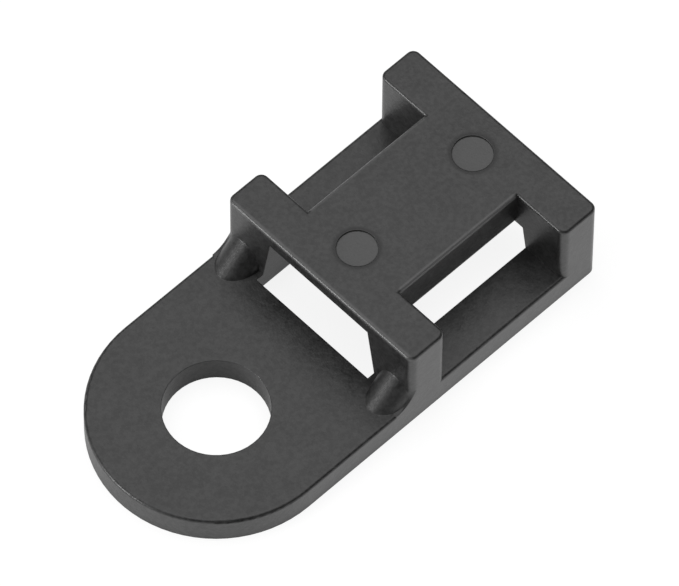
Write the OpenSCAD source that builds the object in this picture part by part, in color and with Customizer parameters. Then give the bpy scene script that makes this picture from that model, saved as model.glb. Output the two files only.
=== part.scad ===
// Screw-fixed saddle mount for a cable tie.
// One moulded nylon piece: a flat tongue with a screw hole, carrying an H-shaped
// saddle on four legs. The tie passes under the web of the H, from side to side.
// Origin: axis of the screw hole, on the underside. +X runs from the tongue to the
// saddle, +Z is up. The part is symmetric about the XZ plane.

/* [Base plate] */
// Overall width, and the diameter of the round end of the tongue
body_w = 10.6; // [10:0.1:14]
// Thickness of the tongue and the side rails
base_t = 1.3; // [1:0.1:1.6]
// Diameter of the screw hole
hole_d = 4.4; // [3:0.1:5.5]
// How far the window in the base starts ahead of the saddle
window_lead = 0.35; // [0:0.05:0.5]

/* [Saddle] */
// Distance from the screw hole to the front of the saddle
saddle_x = 5.65; // [5.2:0.05:9]
// Length of the saddle along the mount
saddle_l = 10.45; // [9.5:0.05:14]
// Overall height of the mount
saddle_h = 4.65; // [4.2:0.05:6]
// Length of each of the two flanges of the H, and of the legs under them
flange_l = 1.95; // [1.5:0.05:2.4]
// Thickness of the flanges
flange_t = 0.7; // [0.6:0.05:1.2]
// Width of the web that joins the flanges
web_w = 5.3; // [4:0.1:5.4]
// Thickness of the web
web_t = 2.05; // [1.2:0.05:2.2]

/* [Legs] */
// Width of each leg at the top
leg_w = 2.5; // [2.4:0.05:2.6]
// How much narrower each leg is at the underside, from the draft of the core
leg_draft = 0.6; // [0:0.05:0.6]
// Radius of the round back of the toe in front of each front leg
toe_r = 0.9; // [0.7:0.05:0.9]
// Distance that each toe reaches out in front of its leg
toe_l = 1.35; // [1:0.05:1.5]
// Slope of the toes, in degrees
toe_slope = 41; // [35:1:48]
// Radius of the hollow fillet at the outer half of each front leg's foot
foot_r = 0.85; // [0.3:0.05:1]

/* [Edges] */
// Radius of the corners of the flanges, seen from above
corner_r = 0.35; // [0.2:0.05:0.6]
// Radius of the upper edges of the tongue and the saddle
edge_r = 0.15; // [0.1:0.05:0.2]
// Radius of the lower edges of the web, where the tie bends round it
web_edge_r = 0.3; // [0.2:0.05:0.5]

/* [Moulding marks] */
// Diameter of the round marks that the ejector pins leave on the saddle
mark_d = 1.7; // [1:0.1:2]
// Depth of the marks
mark_depth = 0.06; // [0.04:0.01:0.1]
// Distance from the front edge of the saddle to the first mark
front_mark = 2.15; // [1.5:0.05:4]
// Distance from the rear edge of the saddle to the second mark
rear_mark = 1.85; // [1.5:0.05:4]

/* [Hidden] */

$fn = 64;
eps = 0.01; // overlap that keeps joined shapes from sharing a face
half_w = body_w / 2;
notch_x = saddle_x + flange_l;
notch_l = saddle_l - 2 * flange_l;
saddle_end = saddle_x + saddle_l;
crown_z = saddle_h - flange_t; // top of the arch under the front flange
web_z = saddle_h - web_t; // underside of the web
leg_y = half_w - (leg_w - leg_draft) / 2; // middle of each leg at its foot

// Extrudes a section drawn in Y and Z along +X, from x0 over the length l.
module along_x(x0, l) {
    translate([x0, 0, 0]) rotate([90, 0, 90]) linear_extrude(l) children();
}

// Extrudes a section drawn in X and Z along +Y, from y0 over the length l.
module along_y(y0, l) {
    translate([0, y0 + l, 0]) rotate([90, 0, 0]) linear_extrude(l) children();
}

// Upright section with its two upper corners rounded, standing on the X axis.
module rounded_top(w, h, r) {
    translate([-w / 2, 0]) square([w, h - r]);
    translate([-w / 2 + r, 0]) square([w - 2 * r, h]);
    for (side = [-1, 1]) translate([side * (w / 2 - r), h - r]) circle(r);
}

// Rectangle with four rounded corners, its lower left corner at the origin.
module rounded_rect(l, w, r) {
    translate([r, 0]) square([l - 2 * r, w]);
    translate([0, r]) square([l, w - 2 * r]);
    for (x = [r, l - r], y = [r, w - r]) translate([x, y]) circle(r);
}

// What a rounding takes off a corner at the origin, the material below it and to the left.
module corner_waste(r) {
    difference() {
        translate([-r, -r]) square(r + eps);
        translate([-r, -r]) circle(r);
    }
}

// Section of a hollow fillet of radius r, at the foot of a wall that faces +X.
module hollow_fillet(r) {
    difference() {
        translate([-eps, -edge_r]) square([r + eps, r + edge_r]);
        translate([r, r]) circle(r);
    }
}

// Tongue and side rails in one slab, with the nose of the tongue turned about the hole.
module base_plate() {
    rotate([0, 0, 90]) rotate_extrude(angle = 180) intersection() {
        rounded_top(body_w, base_t, edge_r);
        square([half_w, base_t]);
    }
    intersection() {
        along_x(0, saddle_end) rounded_top(body_w, base_t, edge_r);
        translate([-half_w, -half_w, 0])
            linear_extrude(base_t) rounded_rect(half_w + saddle_end, body_w, corner_r);
    }
}

// Block with rounded corners in plan and rounded upper edges, centred on the Z axis.
module rounded_block(l, w, h) {
    corner_x = l / 2 - corner_r;
    corner_y = w / 2 - corner_r;
    difference() {
        translate([-l / 2, -w / 2, 0]) linear_extrude(h) rounded_rect(l, w, corner_r);
        for (i = [0, 1], j = [0, 1]) mirror([i, 0, 0]) mirror([0, j, 0]) translate([0, 0, h]) {
            translate([corner_x, corner_y, 0]) rotate_extrude(angle = 90)
                translate([corner_r, 0]) corner_waste(edge_r);
            translate([0, w / 2, 0]) along_x(-eps, corner_x + eps) corner_waste(edge_r);
            translate([l / 2, 0, 0]) along_y(-eps, corner_y + eps) corner_waste(edge_r);
        }
    }
}

// Half of the width of the space between the legs, at the height z.
function arch_y(z) = half_w - leg_w + leg_draft * (1 - z / crown_z);

// Section of the space between the legs up to a height, tapered by the draft of its core.
module arch_section(top) {
    polygon([[-arch_y(0), 0], [arch_y(0), 0], [arch_y(top), top], [-arch_y(top), top]]);
}

// Flange of the H with the two legs under it, from x0 on, over an arch up to the height top.
module flange(x0, top) {
    difference() {
        translate([x0 + flange_l / 2, 0, 0]) rounded_block(flange_l, body_w, saddle_h);
        along_x(x0 - eps, flange_l + 2 * eps) arch_section(top);
    }
}

// Web of the H, its lower edges rounded for the tie. Its skin runs into the flanges.
module web() {
    translate([0, 0, crown_z]) along_x(notch_x - edge_r, notch_l + 2 * edge_r)
        rounded_top(web_w, flange_t, edge_r);
    translate([0, 0, crown_z + eps]) along_x(notch_x - eps, notch_l + 2 * eps)
        mirror([0, 1]) rounded_top(web_w, crown_z + eps - web_z, web_edge_r);
}

// Foot of the +Y front leg: a sloping toe with a round back, and a hollow fillet outside it.
module front_foot() {
    corner_y = half_w - corner_r;
    translate([saddle_x - toe_l, leg_y, base_t]) intersection() {
        rotate([0, -toe_slope, 0]) translate([0, 0, -toe_r]) rotate([0, 90, 0])
            cylinder(h = toe_l + flange_l, r = toe_r);
        translate([0, -toe_r, 0]) cube([toe_l + flange_l / 2, 2 * toe_r, saddle_h]);
    }
    intersection() {
        union() {
            along_y(leg_y, corner_y - leg_y)
                translate([saddle_x, base_t]) mirror([1, 0]) hollow_fillet(foot_r);
            translate([saddle_x + corner_r, corner_y, base_t]) rotate([0, 0, 90])
                rotate_extrude(angle = 90) translate([corner_r, 0]) hollow_fillet(foot_r);
        }
        translate([0, leg_y, 0]) cube([saddle_end, half_w - leg_y, saddle_h]);
    }
}

// The whole mount, in one moulded piece.
module saddle_mount() {
    color("#2c2c2e") difference() {
        union() {
            difference() {
                base_plate();
                along_x(saddle_x - window_lead, saddle_l + window_lead + eps)
                    arch_section(crown_z);
            }
            difference() {
                for (side = [0, 1]) mirror([0, side, 0]) front_foot();
                along_x(0, saddle_end) arch_section(crown_z);
            }
            flange(saddle_x, crown_z);
            flange(saddle_end - flange_l, web_z);
            web();
        }
        translate([0, 0, -eps]) cylinder(h = base_t + 2 * eps, d = hole_d);
        for (x = [saddle_x + front_mark, saddle_end - rear_mark])
            translate([x, 0, saddle_h - mark_depth]) cylinder(h = mark_depth + eps, d = mark_d);
    }
}

saddle_mount();
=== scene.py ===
"""A cable tie mount moulded in black nylon, on a white table under soft light."""

import math

import bpy
from mathutils import Matrix, Vector


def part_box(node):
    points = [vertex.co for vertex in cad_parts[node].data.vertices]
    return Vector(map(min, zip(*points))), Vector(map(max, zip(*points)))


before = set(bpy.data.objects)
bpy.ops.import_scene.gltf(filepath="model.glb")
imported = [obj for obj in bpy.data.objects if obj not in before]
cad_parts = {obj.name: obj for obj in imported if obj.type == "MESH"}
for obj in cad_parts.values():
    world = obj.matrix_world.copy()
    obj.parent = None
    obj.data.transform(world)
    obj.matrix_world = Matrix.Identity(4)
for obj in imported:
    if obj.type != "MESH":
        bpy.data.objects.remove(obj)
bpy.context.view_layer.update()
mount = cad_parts["saddle_mount"]


# ---- Dimensions of the mount ----

MM = 0.001
SADDLE_LENGTH = 10.45 * MM
FLANGE_LENGTH = 1.95 * MM  # each of the two flanges of the H, along X
WEB_WIDTH = 5.3 * MM  # the web of the H, between the notches
MARK_RADIUS = 0.85 * MM  # each of the two ejector marks on top of the saddle
FRONT_MARK = 2.15 * MM  # from the front of the saddle to the middle of the first mark
REAR_MARK = 1.85 * MM  # from the rear of the saddle to the middle of the second mark

# The origin is on the axis of the screw hole, on the underside, and +X runs to the saddle.
low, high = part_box("saddle_mount")
saddle_front, saddle_rear, saddle_top = high[0] - SADDLE_LENGTH, high[0], high[2]


# ---- Shader maths ----

# The numbers of a Mix node's two inputs and its output, for each kind of value.
MIX_SOCKETS = {"VECTOR": (4, 5, 1), "RGBA": (6, 7, 2)}


class Socket:
    """The output of a node. Arithmetic on it adds Math nodes."""

    def __init__(self, shader, output):
        self.shader = shader
        self.output = output

    def __add__(self, other):
        return self.shader.math("ADD", self, other)

    def __radd__(self, other):
        return self.shader.math("ADD", other, self)

    def __sub__(self, other):
        return self.shader.math("SUBTRACT", self, other)

    def __rsub__(self, other):
        return self.shader.math("SUBTRACT", other, self)

    def __mul__(self, other):
        return self.shader.math("MULTIPLY", self, other)

    def __rmul__(self, other):
        return self.shader.math("MULTIPLY", other, self)

    def step(self, start, end):
        """A smooth step that is 0 up to start and 1 from end on."""
        settings = {"interpolation_type": "SMOOTHSTEP"}
        sockets = {"Value": self, "From Min": start, "From Max": end}
        return self.shader.node("ShaderNodeMapRange", settings, sockets)


class Shader:
    """The node tree of a material or of the world."""

    def __init__(self, owner):
        owner.use_nodes = True
        self.tree = owner.node_tree
        self.tree.nodes.clear()

    def node(self, kind, settings=None, sockets=None, output=0):
        """Adds a node: its settings first, then the values or links of its sockets."""
        made = self.tree.nodes.new(kind)
        for name, value in (settings or {}).items():
            setattr(made, name, value)
        for name, value in (sockets or {}).items():
            if isinstance(value, Socket):
                self.tree.links.new(value.output, made.inputs[name])
            else:
                made.inputs[name].default_value = value
        return Socket(self, made.outputs[output]) if made.outputs else None

    def math(self, operation, *values):
        """The result of one Math node."""
        return self.node("ShaderNodeMath", {"operation": operation}, dict(enumerate(values)))

    def vector_math(self, operation, first, second):
        """The number that one Vector Math node gives, such as a DISTANCE."""
        settings = {"operation": operation}
        return self.node("ShaderNodeVectorMath", settings, {0: first, 1: second}, "Value")

    def axes(self, vector):
        """The X, Y and Z of a vector."""
        parts = self.node("ShaderNodeSeparateXYZ", sockets={"Vector": vector})
        return [Socket(self, output) for output in parts.output.node.outputs]

    def noise(self, place, size, detail, roughness):
        """Noise from 0 to 1 whose lumps are about as large as size, in metres."""
        sockets = {"Vector": place, "Scale": 1 / size, "Detail": detail, "Roughness": roughness}
        return self.node("ShaderNodeTexNoise", sockets=sockets)

    def mix(self, share, first, second, kind="RGBA"):
        """The first colour, or VECTOR, turning into the second as share goes from 0 to 1."""
        first_input, second_input, output = MIX_SOCKETS[kind]
        sockets = {0: share, first_input: first, second_input: second}
        return self.node("ShaderNodeMix", {"data_type": kind}, sockets, output)

    def bump(self, height, distance, normal):
        """The normal bent by a height from 0 to 1 that stands for distance, in metres."""
        sockets = {"Height": height, "Distance": distance, "Normal": normal}
        return self.node("ShaderNodeBump", sockets=sockets)

    def mix_shader(self, share, first, second):
        """The first shader turning into the second as share goes from 0 to 1."""
        return self.node("ShaderNodeMixShader", sockets={0: share, 1: first, 2: second})


def grey(level):
    """A neutral grey, from 0 for black to 1 for white."""
    return (level, level, level, 1.0)


# ---- Black nylon ----

NYLON_IOR = 1.53

# The texture of the mould, and the clouds that the flow of the melt leaves in the skin
GRAIN_SIZE = 0.09 * MM
SPECKLE_SIZE = 0.20 * MM
FLOW_SIZE = 1.1 * MM
NOISE_DETAIL = 3.0  # how many layers of finer lumps each noise has
GRAIN_FINENESS = 0.6  # strength of each finer layer against the one before
FLOW_FINENESS = 0.5
TEXTURE_DEPTH = 0.014 * MM
FLOW_DEPTH = 0.008 * MM
SPECKLE_RANGE = (0.35, 0.65)  # the values of the noise that give the darkest and lightest skin
FLOW_RANGE = (0.3, 0.7)
FLOW_SHARE = 0.4  # share of the clouds in the tone of the skin, the speckle being the rest

# Levels of grey
DARK_SKIN = 0.006
LIGHT_SKIN = 0.030
MARK_SKIN = 0.050
# painted shade in the step round each ejector mark
RIM_PAINTED_SHADE = 0.004
# painted highlight along the web's upper edges and the saddle's front
PAINTED_HIGHLIGHT = 0.090
# pale edges: partly wear, partly a painted highlight
EDGE_WEAR_AND_HIGHLIGHT = 0.080

# Roughness of the skin, and what is added to it
SKIN_ROUGHNESS = 0.30
FLOW_ROUGHNESS = 0.08
GRAIN_ROUGHNESS = 0.06
RIM_ROUGHNESS = 0.10

# Ejector marks
MARK_BLUR = 0.06 * MM  # how softly a mark fades into its rim
RIM_WIDTH = 0.24 * MM  # how far the rim round a mark reaches: painted shade in its colour, and duller in roughness

# Painted highlight along the upper edges of the web, and weaker along the front of the saddle
HIGHLIGHT_SIDE = (0.20 * MM, 0.07 * MM)  # distance in from the side of the web, from 0 to full
HIGHLIGHT_DROP = (0.25 * MM, 0.13 * MM)  # distance below the top of the saddle, from 0 to full
HIGHLIGHT_FRONT = (0.10 * MM, 0.22 * MM)  # distance behind the front, from full to 0
HIGHLIGHT_END = 0.15 * MM  # over which the line fades at either end of a notch
FRONT_SHARE = 0.6  # strength of the painted highlight along the front

# Edges
EDGE_RADIUS = 0.07 * MM  # what the mould leaves on every sharp edge
EDGE_TURN = (0.75, 0.98)  # cosine between the rounded and the flat normal, edge to flat face
EDGE_SHARE = 0.5  # how far the sharpest edges turn pale, partly as wear and partly as a painted highlight
CORNER_REACH = 0.25 * MM  # how near another face has to be to make a corner an inner one
CORNER_AIR = (0.75, 0.95)  # share of open air in that reach: up to the first it is an inner one
EDGE_SAMPLES = 8


def mark_masks(shader, place):
    """Two masks: 1 on the round ejector marks on top of the saddle, and 1 on their rims."""
    centres = [(x, 0.0, saddle_top) for x in (saddle_front + FRONT_MARK, saddle_rear - REAR_MARK)]
    first, second = [shader.vector_math("DISTANCE", place, centre) for centre in centres]
    away = shader.math("MINIMUM", first, second)
    past = away.step(MARK_RADIUS - MARK_BLUR, MARK_RADIUS + MARK_BLUR)
    rim = past * (1 - away.step(MARK_RADIUS + MARK_BLUR, MARK_RADIUS + RIM_WIDTH))
    return 1 - past, rim


def painted_highlight_mask(shader, place):
    """How strongly the painted highlight shows: 1 along the web's upper edges, less along the
    saddle's front.
    """
    x, y, z = shader.axes(place)
    notch_front, notch_rear = saddle_front + FLANGE_LENGTH, saddle_rear - FLANGE_LENGTH
    side = shader.math("ABSOLUTE", y).step(*[WEB_WIDTH / 2 - inset for inset in HIGHLIGHT_SIDE])
    after_front = x.step(notch_front, notch_front + HIGHLIGHT_END)
    before_rear = 1 - x.step(notch_rear - HIGHLIGHT_END, notch_rear)
    front = 1 - x.step(*[saddle_front + inset for inset in HIGHLIGHT_FRONT])
    lines = shader.math("MAXIMUM", side * after_front * before_rear, FRONT_SHARE * front)
    return lines * z.step(*[saddle_top - drop for drop in HIGHLIGHT_DROP])


def black_nylon():
    """As-moulded black nylon: a fine spark-eroded texture, with faint flow mottling."""
    material = bpy.data.materials.new("black_nylon")
    shader = Shader(material)
    place = shader.node("ShaderNodeTexCoord", output="Object")
    grain = shader.noise(place, GRAIN_SIZE, NOISE_DETAIL, GRAIN_FINENESS)
    speckle = shader.noise(place, SPECKLE_SIZE, NOISE_DETAIL, GRAIN_FINENESS)
    flow = shader.noise(place, FLOW_SIZE, NOISE_DETAIL, FLOW_FINENESS)

    # Outer edges are rounded and a little pale, partly as wear and partly as a painted highlight.
    # Inner corners stay sharp.
    flat = shader.node("ShaderNodeNewGeometry", output="Normal")
    settings = {"samples": EDGE_SAMPLES}
    rounded = shader.node("ShaderNodeBevel", settings, {"Radius": EDGE_RADIUS})
    air = shader.node("ShaderNodeAmbientOcclusion", settings, {"Distance": CORNER_REACH}, "AO")
    outer = air.step(*CORNER_AIR)
    normal = shader.mix(outer, flat, rounded, "VECTOR")
    turn = shader.vector_math("DOT_PRODUCT", rounded, flat)
    edge = outer * (1 - turn.step(*EDGE_TURN))

    clouds, dots = flow.step(*FLOW_RANGE), speckle.step(*SPECKLE_RANGE)
    tone = FLOW_SHARE * clouds + (1 - FLOW_SHARE) * dots
    mark, rim = mark_masks(shader, place)
    colour = shader.mix(tone, grey(DARK_SKIN), grey(LIGHT_SKIN))
    colour = shader.mix(mark, colour, grey(MARK_SKIN))
    # painted shade in the step round each mark, which is also made duller
    colour = shader.mix(rim, colour, grey(RIM_PAINTED_SHADE))
    # painted highlight along the web's upper edges and the saddle's front
    colour = shader.mix(painted_highlight_mask(shader, place), colour, grey(PAINTED_HIGHLIGHT))
    # pale edges: partly wear, partly a painted highlight
    colour = shader.mix(EDGE_SHARE * edge, colour, grey(EDGE_WEAR_AND_HIGHLIGHT))

    roughness = SKIN_ROUGHNESS + FLOW_ROUGHNESS * flow + GRAIN_ROUGHNESS * grain
    roughness = roughness + RIM_ROUGHNESS * rim
    texture = 0.5 * (grain + speckle)
    normal = shader.bump(flow, FLOW_DEPTH, normal)
    normal = shader.bump(texture, TEXTURE_DEPTH, normal)
    sockets = {"Base Color": colour, "Roughness": roughness, "IOR": NYLON_IOR, "Normal": normal}
    surface = shader.node("ShaderNodeBsdfPrincipled", sockets=sockets)
    shader.node("ShaderNodeOutputMaterial", sockets={"Surface": surface})
    return material


# ---- Studio ----

TABLE_SIZE = 3.0
TABLE_GAP = 0.01 * MM  # keeps the table off the underside of the mount
TABLE_PAINT = 0.9
TABLE_GLOW = 1.15  # strength of the glow that is mixed into the paint

# Shares of that glow
SEEN_SHARE = 0.75  # where the table is seen itself, so that the paint keeps the shadow
UNDER_SHARE = 0.18  # in all that the mount reflects
SADDLE_SHARE = 0.16  # added to that from the front of the saddle on
SADDLE_RISE = (4.0 * MM, 6.0 * MM)  # where it is added, from 0 to full along X
BESIDE_SHARE = 0.75  # added to that beside the mount, on its -Y side
BESIDE_FALL = 0.62  # how much less is added on its +Y side
BESIDE_FADE = 0.3 * MM  # over which it is added, on either side of the mount's outline

ROOM_LIGHT = 0.12


def white_table():
    """A white table that shows as the white background, with the mount's shadow kept.

    In what the mount reflects, the table's glow is painted light and shade: nearly as dark under
    the mount as its own shadow, a little brighter from the saddle's front on, and brightest
    beside it, most of all on the -Y side.
    """
    material = bpy.data.materials.new("white_table")
    shader = Shader(material)
    x, y, _ = shader.axes(shader.node("ShaderNodeTexCoord", output="Object"))
    nose_x = shader.math("MINIMUM", x, 0.0)
    past_nose = shader.math("SQRT", nose_x * nose_x + y * y) - high[1]
    past = shader.math("MAXIMUM", past_nose, x - high[0])
    # painted light and shadow in reflections: the glow is dim under the mount and brighter beside
    # it, most on its -Y side
    glow_beside = BESIDE_SHARE - BESIDE_FALL * y.step(low[1], high[1])
    beside = past.step(-BESIDE_FADE, BESIDE_FADE) * glow_beside
    reflected = UNDER_SHARE + SADDLE_SHARE * x.step(*SADDLE_RISE) + beside

    camera = shader.node("ShaderNodeLightPath", output="Is Camera Ray")
    glossy = shader.node("ShaderNodeLightPath", output="Is Glossy Ray")
    through = shader.node("ShaderNodeLightPath", output="Is Transmission Ray")
    share = SEEN_SHARE * (camera + through) + reflected * glossy
    painted = shader.node("ShaderNodeBsdfDiffuse", sockets={"Color": grey(TABLE_PAINT)})
    glow = shader.node("ShaderNodeEmission", sockets={"Color": grey(1.0), "Strength": TABLE_GLOW})
    surface = shader.mix_shader(share, painted, glow)
    shader.node("ShaderNodeOutputMaterial", sockets={"Surface": surface})

    bpy.ops.mesh.primitive_plane_add(size=TABLE_SIZE, location=(0, 0, -TABLE_GAP))
    table = bpy.context.object
    table.name = "table"
    table.data.materials.append(material)


def room():
    """The room: a dim grey that lights the mount, and white where it is seen."""
    world = bpy.data.worlds.new("room")
    bpy.context.scene.world = world
    shader = Shader(world)
    camera = shader.node("ShaderNodeLightPath", output="Is Camera Ray")
    walls, white = [
        shader.node("ShaderNodeBackground", sockets={"Color": grey(1.0), "Strength": strength})
        for strength in (ROOM_LIGHT, 1.0)
    ]
    surface = shader.mix_shader(camera, walls, white)
    shader.node("ShaderNodeOutputWorld", sockets={"Surface": surface})


def direction(azimuth, elevation):
    """The unit vector towards an azimuth, counted from +X towards +Y, and an elevation."""
    turn, rise = math.radians(azimuth), math.radians(elevation)
    return Vector(
        (
            math.cos(turn) * math.cos(rise),
            math.sin(turn) * math.cos(rise),
            math.sin(rise),
        )
    )


def softbox(name, azimuth, elevation, distance, size, radiance):
    """A square lamp aimed at the mount, as bright as a surface of that radiance."""
    back = direction(azimuth, elevation)
    lamp = bpy.data.lights.new(name, "AREA")
    lamp.shape = "SQUARE"
    lamp.size = size
    lamp.energy = radiance * math.pi * size * size
    stand = bpy.data.objects.new(name, lamp)
    stand.location = back * distance
    stand.rotation_mode = "QUATERNION"
    stand.rotation_quaternion = back.to_track_quat("Z", "Y")
    bpy.context.scene.collection.objects.link(stand)


# ---- Camera ----

CAMERA_AZIMUTH = 225.6
CAMERA_ELEVATION = 58.4
CAMERA_ROLL = 0.4
CAMERA_DISTANCE = 0.427
CAMERA_REACH = (0.01, 10.0)  # nearest and farthest that it sees
SENSOR_WIDTH = 36.0  # in millimetres, as the focal length is
IMAGE_WIDTH, IMAGE_HEIGHT = 679, 586
FILLED = 0.83  # share of the image's height or width that the mount takes


def add_camera():
    """A long lens at the viewing angle, with the mount in the middle of the image."""
    back = direction(CAMERA_AZIMUTH, CAMERA_ELEVATION)
    facing = back.to_track_quat("Z", "Y").to_matrix()
    facing = facing @ Matrix.Rotation(math.radians(CAMERA_ROLL), 3, "Z")
    seen = [facing.transposed() @ vertex.co for vertex in mount.data.vertices]
    nearest = [min(point[axis] for point in seen) for axis in range(3)]
    farthest = [max(point[axis] for point in seen) for axis in range(3)]
    middle = facing @ Vector([(a + b) / 2 for a, b in zip(nearest, farthest)])
    width, height, _ = [b - a for a, b in zip(nearest, farthest)]

    lens = bpy.data.cameras.new("camera")
    lens.sensor_width = SENSOR_WIDTH
    shown = max(width / FILLED, height / FILLED * IMAGE_WIDTH / IMAGE_HEIGHT)
    lens.lens = SENSOR_WIDTH * CAMERA_DISTANCE / shown
    lens.clip_start, lens.clip_end = CAMERA_REACH
    camera = bpy.data.objects.new("camera", lens)
    camera.location = middle + back * CAMERA_DISTANCE
    camera.rotation_mode = "QUATERNION"
    camera.rotation_quaternion = facing.to_quaternion()
    bpy.context.scene.collection.objects.link(camera)
    bpy.context.scene.camera = camera


# ---- The scene ----

mount.data.materials.clear()
mount.data.materials.append(black_nylon())
white_table()
room()
softbox("overhead", azimuth=45, elevation=80, distance=0.45, size=0.60, radiance=1.60)
softbox("left", azimuth=157, elevation=6, distance=0.40, size=0.16, radiance=14.0)
softbox("window", azimuth=150, elevation=26, distance=0.40, size=0.45, radiance=0.6)
add_camera()
bpy.context.scene.view_settings.view_transform = "Standard"
